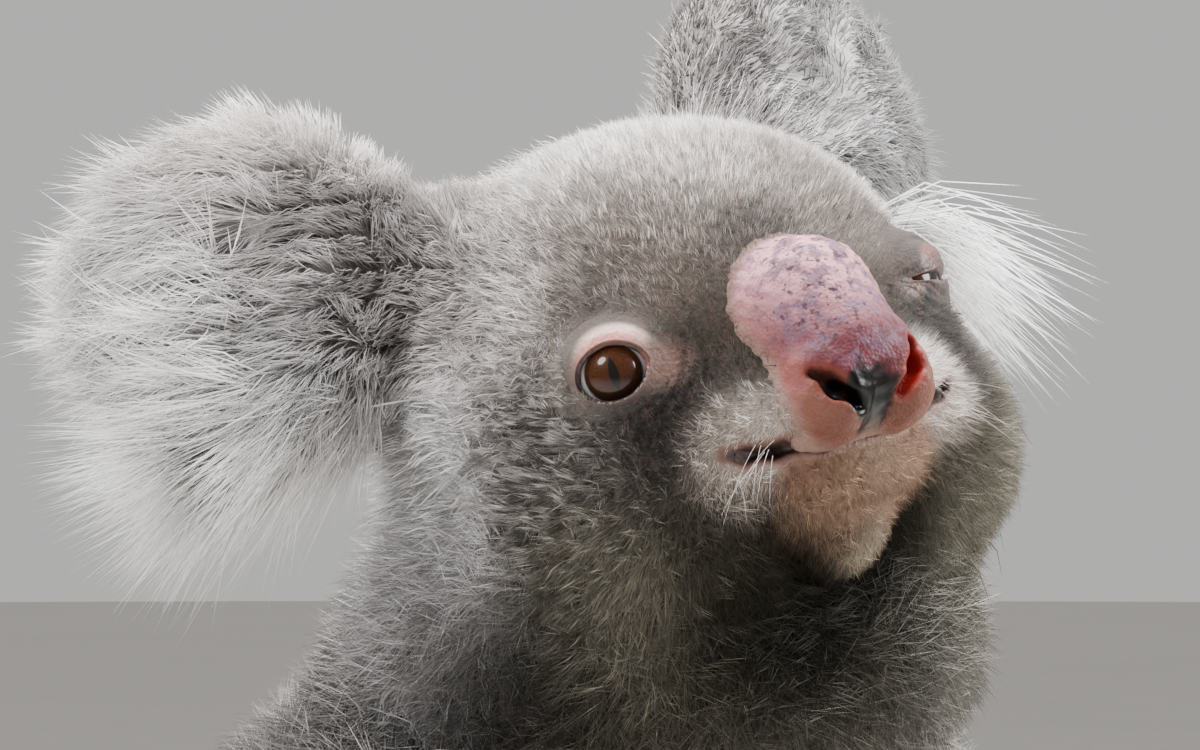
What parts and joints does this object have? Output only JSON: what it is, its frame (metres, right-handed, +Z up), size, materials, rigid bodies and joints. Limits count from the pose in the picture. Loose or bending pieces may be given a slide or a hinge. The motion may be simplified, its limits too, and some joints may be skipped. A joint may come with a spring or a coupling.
{
  "type": "koala",
  "caption": "Life-size adult koala seated on the floor, head raised and cocked, with one eye nearly closed.",
  "frame": {"origin": "on the floor, under the middle of the animal's box", "axes": "+Z up, -Y the way the animal faces, +X its left"},
  "size_m": [0.348, 0.37, 0.4863],
  "materials": {
    "coat": "dense woolly grey fur",
    "pale_coat": "long pale fur on the ears and short pale hair on the chin",
    "nose_skin": "bare leathery skin, pink with grey mottling",
    "eye": "wet and glossy"
  },
  "bodies": {
    "root": {"abdomen": "coat", "chest": "coat", "neck": "coat", "head": "coat", "upper_arm_right": "coat", "upper_arm_left": "coat", "forearm_right": "coat", "forearm_left": "coat", "hand_right": "coat", "hand_left": "coat", "thigh_right": "coat", "thigh_left": "coat", "shank_right": "coat", "shank_left": "coat", "foot_right": "coat", "foot_left": "coat", "jaw": "pale_coat", "ear_right": "pale_coat", "ear_left": "pale_coat", "nose": "nose_skin", "eye_right": "eye", "eye_left": "eye"}
  },
  "joints": []
}
